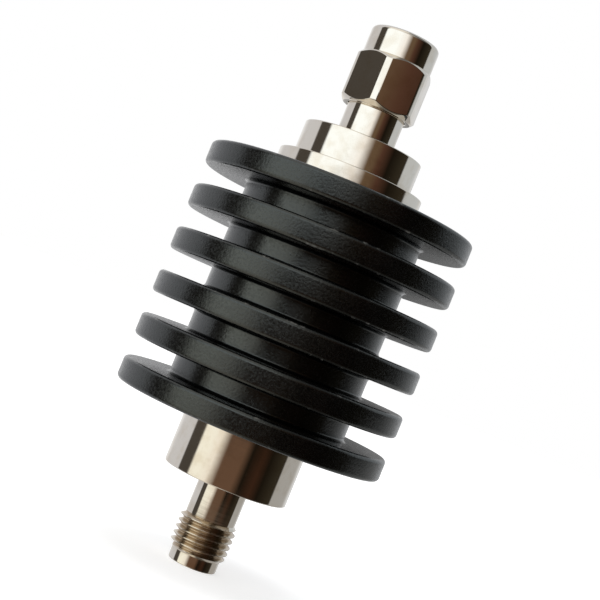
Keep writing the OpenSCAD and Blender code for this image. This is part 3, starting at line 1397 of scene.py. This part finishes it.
@dataclass
class InnerLine:
    """Pieces inside the sleeve and the nut, which keep the frame's own meshes."""

    nodes: dict[str, Piece]
    finishes: dict[str, Finish] = field(default_factory=lambda: {
        "carrier_base": BareAluminium(),
        "carrier_cover": BareAluminium(),
        "attenuator_chip": FiredCeramic(),
        "input_tab": GoldPlate(),
        "output_tab": GoldPlate(),
        "retaining_ring": SpringBronze(),
    })

    def build(self) -> list[Piece]:
        """Dresses each piece.

        Returns:
            The pieces.
        """
        pieces = []
        for node, finish in self.finishes.items():
            piece = self.nodes[node]
            piece.material_slots[0].material = finish.material()
            pieces.append(piece)
        return pieces


# The studio


class Axis(Enum):
    """Axes of the frame: to the right, away from the camera, and up."""

    X = "X"
    Y = "Y"
    Z = "Z"


class WorldShader(NodeTree):
    """Node tree of the world."""

    def __init__(self, name: str) -> None:
        """Starts a world of that name in the scene.

        Args:
            name: Name of the world.
        """
        world = bpy.data.worlds.new(name)
        world.use_nodes = True
        bpy.context.scene.world = world
        super().__init__(world.node_tree)
        coords = self.node("ShaderNodeTexCoord").outputs["Generated"]
        self.axes = self.node("ShaderNodeSeparateXYZ", {"Vector": coords}).outputs
        to_camera = self.reckon("MULTIPLY", self.axes["Y"], -1.0)
        heading = self.reckon("ARCTAN2", self.axes["X"], to_camera)
        self.heading = self.reckon("MULTIPLY_ADD", heading, 1 / TURN, 0.5)

    def horizon(self, stops: Sequence[Stop]) -> Socket:
        """Paints a colour ramp round the horizon.

        Args:
            stops: Directions in degrees, with their colours.

        Returns:
            The colour in each direction.
        """
        ramp = self.node("ShaderNodeValToRGB", {"Fac": self.heading})
        elements = ramp.color_ramp.elements
        while len(elements) < len(stops):
            elements.new(1.0)
        for element, (direction, colour) in zip(elements, stops):
            element.position = direction / 360 + 0.5
            element.color = (*colour, 1.0)
        return ramp.outputs["Color"]

    def towards(self, axis: Axis, span: Point) -> Socket:
        """Gives a share that goes from 0 to 1 as a direction turns towards an axis.

        Args:
            axis: The axis.
            span: Degrees over the plane across the axis where the share is 0, and where it is 1.

        Returns:
            The share.
        """
        angle = self.reckon("ARCSINE", self.axes[axis.value])
        return self.spread(angle, (math.radians(span[0]), math.radians(span[1])))

    def show(self, surround: Socket, backdrop: Colour) -> None:
        """Shows a plain backdrop to the camera, and the surround to everything else.

        Args:
            surround: Colour in each direction.
            backdrop: Colour that the camera sees.
        """
        rays = self.node("ShaderNodeLightPath").outputs
        plain = self.reckon("MAXIMUM", rays["Is Camera Ray"], rays["Is Transmission Ray"])
        self.feed(self.tree.nodes["Background"].inputs["Color"], self.mix(plain, surround, backdrop))


@dataclass
class Surround:
    """What the metal mirrors: pale paper behind the object, and a dim room with a window before it.

    The window stands on a sill, and reaches further to the right in its upper half. Directions are
    in degrees to the right of the camera's side, and a span gives the degrees over a plane between
    which one part of the surround turns into the next.
    """

    white: Colour = (1.0, 1.0, 1.0)
    dim_window: Colour = (1.1, 1.08, 0.97)
    dim_blind: Colour = (1.03, 0.97, 0.87)
    bright_window: Colour = (1.5, 1.5, 1.38)
    bright_blind: Colour = (1.15, 1.12, 1.03)
    upper_window: Colour = (1.26, 1.33, 1.37)
    upper_blind: Colour = (1.12, 1.1, 1.08)
    shade: Colour = (0.072, 0.063, 0.054)
    wood: Colour = (0.14, 0.078, 0.048)
    ember: Colour = (0.045, 0.02, 0.011)
    dusk: Colour = (0.05, 0.038, 0.03)
    upper_wood: Colour = (0.146, 0.093, 0.054)
    upper_ember: Colour = (0.088, 0.041, 0.026)
    night: Colour = (0.011, 0.008, 0.005)
    skirt: Colour = (0.032, 0.026, 0.017)
    sill: Colour = (0.42, 0.37, 0.3)
    sill_middle: Colour = (0.19, 0.145, 0.11)
    sill_end: Colour = (0.06, 0.042, 0.03)
    ceiling_light: Colour = (0.95, 0.92, 0.86)
    ceiling_dark: Colour = (0.17, 0.165, 0.16)
    ground_light: Colour = (0.72, 0.66, 0.57)
    ground_dark: Colour = (0.12, 0.108, 0.095)
    left_paper: Colour = (0.68, 0.68, 0.71)
    low_paper: Colour = (0.42, 0.415, 0.41)
    high_paper: Colour = (0.58, 0.61, 0.64)
    far_left: Colour = (0.9, 0.9, 0.91)
    far_right: Colour = (0.76, 0.77, 0.79)
    dim_right: Colour = (0.52, 0.52, 0.52)
    behind_left: Colour = (0.54, 0.54, 0.55)
    behind: Colour = (0.34, 0.34, 0.34)
    behind_right: Colour = (0.18, 0.18, 0.18)
    window_left: float = -71.0
    window_right: float = -30.0
    upper_right: float = 5.0
    side: float = 88.0
    bright_from: Point = (-5.0, 0.0)
    bright_until: Point = (4.0, 6.0)
    lit_from: Point = (-4.2, -5.2)
    upper_from: Point = (5.9, 6.5)
    sill_from: Point = (-7.8, -9.2)
    sill_until: Point = (-9.9, -10.2)
    ceiling_from: Point = (28.0, 50.0)
    ground_from: Point = (-28.0, -50.0)
    paper_from: Point = (4.0, 8.0)
    paper_rise: Point = (-8.0, 10.0)
    paper_middle: Point = (-20.0, 20.0)
    far_from: Point = (45.0, 70.0)
    shadow_from: Point = (-4.8, -3.8)
    shadow_until: Point = (6.6, 6.0)
    shadow_side: Point = (0.0, 20.0)
    shadow_fades: Point = (9.0, 50.0)

    def lower_room(self, window: Colour, blind: Colour, wall: Colour, glow: Colour) -> list[Stop]:
        """Gives the room's lower half from left to right.

        Args:
            window: Colour of the window's left part.
            blind: Colour of its right part.
            wall: Colour of the wall beside it.
            glow: Colour of the faint glow in the dark corner.

        Returns:
            Directions with their colours.
        """
        return [
            (self.window_left - 2, self.shade),
            (self.window_left + 2, window),
            (self.window_right - 22, window),
            (self.window_right - 5, blind),
            (self.window_right + 12, wall),
            (12, wall),
            (26, self.night),
            (47, glow),
            (63, self.night),
            (self.side, self.skirt),
        ]

    def upper_room(self) -> list[Stop]:
        """Gives the room's upper half from left to right.

        Returns:
            Directions with their colours.
        """
        return [
            (self.window_left - 2, self.shade),
            (self.window_left + 2, self.upper_window),
            (self.upper_right - 26, self.upper_window),
            (self.upper_right - 4, self.upper_blind),
            (self.upper_right + 14, self.upper_wood),
            (28, self.upper_wood),
            (39, self.upper_ember),
            (60, self.night),
            (self.side, self.skirt),
        ]

    def under_window(self) -> list[Stop]:
        """Gives the sill from left to right.

        Returns:
            Directions with their colours.
        """
        return [
            (self.window_left - 2, self.shade),
            (self.window_left + 5, self.sill),
            (-15, self.sill_middle),
            (70, self.sill_end),
        ]

    def overhead(self, light: Colour, dark: Colour) -> list[Stop]:
        """Gives the ceiling or the ground, light on the window's side and dark on the other."""
        return [(self.window_left, light), (self.window_right, light), (40, dark), (self.side, dark)]

    def far_paper(self) -> list[Stop]:
        """Gives the paper's far side, which is shaded straight behind the object and to the right.

        Returns:
            Directions with their colours.
        """
        return [
            (-180, self.behind),
            (-176, self.behind_left),
            (-173, self.far_left),
            (160, self.far_right),
            (173, self.dim_right),
            (176, self.behind_right),
            (180, self.behind),
        ]

    def room(self, shader: WorldShader) -> Socket:
        """Paints the room before the object, one layer of heights over the other.

        Args:
            shader: World to paint.

        Returns:
            The room's colour.
        """
        lit, dim, bright = (shader.horizon(self.lower_room(*colours)) for colours in (
            (self.dim_window, self.dim_blind, self.wood, self.ember),
            (self.dim_window, self.dim_blind, self.dusk, self.night),
            (self.bright_window, self.bright_blind, self.dusk, self.night),
        ))
        room = dim
        for span, layer in (
            (self.bright_from, bright),
            (self.bright_until, dim),
            (self.lit_from, lit),
            (self.upper_from, shader.horizon(self.upper_room())),
            (self.sill_from, shader.horizon(self.under_window())),
            (self.sill_until, lit),
            (self.ceiling_from, shader.horizon(self.overhead(self.ceiling_light, self.ceiling_dark))),
            (self.ground_from, shader.horizon(self.overhead(self.ground_light, self.ground_dark))),
        ):
            room = shader.mix(shader.towards(Axis.Z, span), room, layer)
        return room

    def paper(self, shader: WorldShader) -> Socket:
        """Paints the paper behind the object, with a shadow on its right at the fins' height.

        Args:
            shader: World to paint.

        Returns:
            The paper's colour.
        """
        right = shader.mix(shader.towards(Axis.Z, self.paper_rise), self.low_paper, self.high_paper)
        paper = shader.mix(shader.towards(Axis.X, self.paper_middle), self.left_paper, right)
        far = shader.horizon(self.far_paper())
        paper = shader.mix(shader.towards(Axis.Y, self.far_from), paper, far)
        shadow = shader.towards(Axis.X, self.shadow_side)
        for span in (self.shadow_from, self.shadow_until):
            shadow = shader.reckon("MULTIPLY", shadow, shader.towards(Axis.Z, span))
        shaded = shader.mix(shader.towards(Axis.Y, self.shadow_fades), self.night, paper)
        return shader.mix(shadow, paper, shaded)

    def paint(self) -> None:
        """Makes the world."""
        shader = WorldShader("surround")
        edge = shader.towards(Axis.Y, self.paper_from)
        shader.show(shader.mix(edge, self.room(shader), self.paper(shader)), self.white)


@dataclass
class Studio:
    """Camera, soft overhead lamp, floor and surround."""

    focal: float = 81.74
    distance: float = 146.0
    tilt: float = 1.345
    roll: float = 22.263
    image_side: float = 600.0
    centre_pixel: Point = (295.16, 311.0)
    sensor: float = 36.0
    near_clip: float = 1.0
    floor_side: float = 3.0
    floor_glow: float = 0.62
    floor_colour: Colour = (0.8, 0.8, 0.8)
    lamp_side: float = 0.35
    lamp_height: float = 0.42
    lamp_power: float = 0.5

    def camera(self) -> None:
        """Sets the camera at the photograph's viewing angle, rolled as the photograph is."""
        data = bpy.data.cameras.new("camera")
        data.lens = self.focal
        data.sensor_width = self.sensor
        data.clip_start = self.near_clip * MM
        tilt, roll = math.radians(self.tilt), math.radians(self.roll)
        back = Vector((0, -math.cos(tilt), -math.sin(tilt)))
        level_up = Vector((0, -math.sin(tilt), math.cos(tilt)))
        right = Vector((math.cos(roll), 0, 0)) + level_up * math.sin(roll)
        up = back.cross(right)
        per_pixel = self.distance * self.sensor / self.focal / self.image_side
        across = (self.centre_pixel[0] - self.image_side / 2) * per_pixel
        down = (self.centre_pixel[1] - self.image_side / 2) * per_pixel
        sink = Span.of("heat_sink")
        centre = Vector((0, 0, (sink.low + sink.high) / 2))
        place = (centre - right * across + up * down + back * self.distance) * MM
        axes = Matrix((right, up, back)).transposed().to_4x4()
        camera = bpy.data.objects.new("camera", data)
        camera.matrix_world = Matrix.Translation(place) @ axes
        bpy.context.scene.collection.objects.link(camera)
        bpy.context.scene.camera = camera

    def lamp(self) -> None:
        """Hangs a soft lamp over the object."""
        data = bpy.data.lights.new("overhead", "AREA")
        data.shape = "DISK"
        data.size = self.lamp_side
        data.energy = self.lamp_power
        lamp = bpy.data.objects.new("overhead", data)
        lamp.location = (0, 0, self.lamp_height)
        lamp.visible_glossy = False
        bpy.context.scene.collection.objects.link(lamp)

    def floor(self) -> None:
        """Lays a pale floor that looks white to the camera and keeps the object's shadow."""
        bpy.ops.object.select_all(action="DESELECT")
        bpy.ops.mesh.primitive_plane_add(size=self.floor_side)
        floor = bpy.context.object
        floor.name = "floor"
        floor.visible_glossy = False
        shader = Shader("pale_floor")
        rays = shader.node("ShaderNodeLightPath").outputs
        glow = shader.reckon("MULTIPLY", rays["Is Camera Ray"], self.floor_glow)
        shader.set(Base_Color=(*self.floor_colour, 1.0), Roughness=1.0, Specular_IOR_Level=0.0)
        shader.set(Emission_Color=(1.0, 1.0, 1.0, 1.0), Emission_Strength=glow)
        floor.data.materials.append(shader.material)

    def build(self) -> None:
        """Sets up the studio."""
        bpy.context.scene.view_settings.view_transform = "Standard"
        self.camera()
        self.lamp()
        self.floor()
        Surround().paint()


def main() -> None:
    """Loads the frame, sets up the studio and makes each piece."""
    logging.basicConfig(level=logging.INFO, format="%(name)s: %(message)s")
    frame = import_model()
    Studio().build()
    for assembly in (HeatSink(), Housing(), JackEnd(), PlugEnd(), CouplingNut(), InnerLine(frame["nodes"])):
        for piece in assembly.build():
            LOG.info("%s: %s with %d faces", type(assembly).__name__, piece.name, len(piece.data.polygons))


if __name__ == "__main__":
    main()
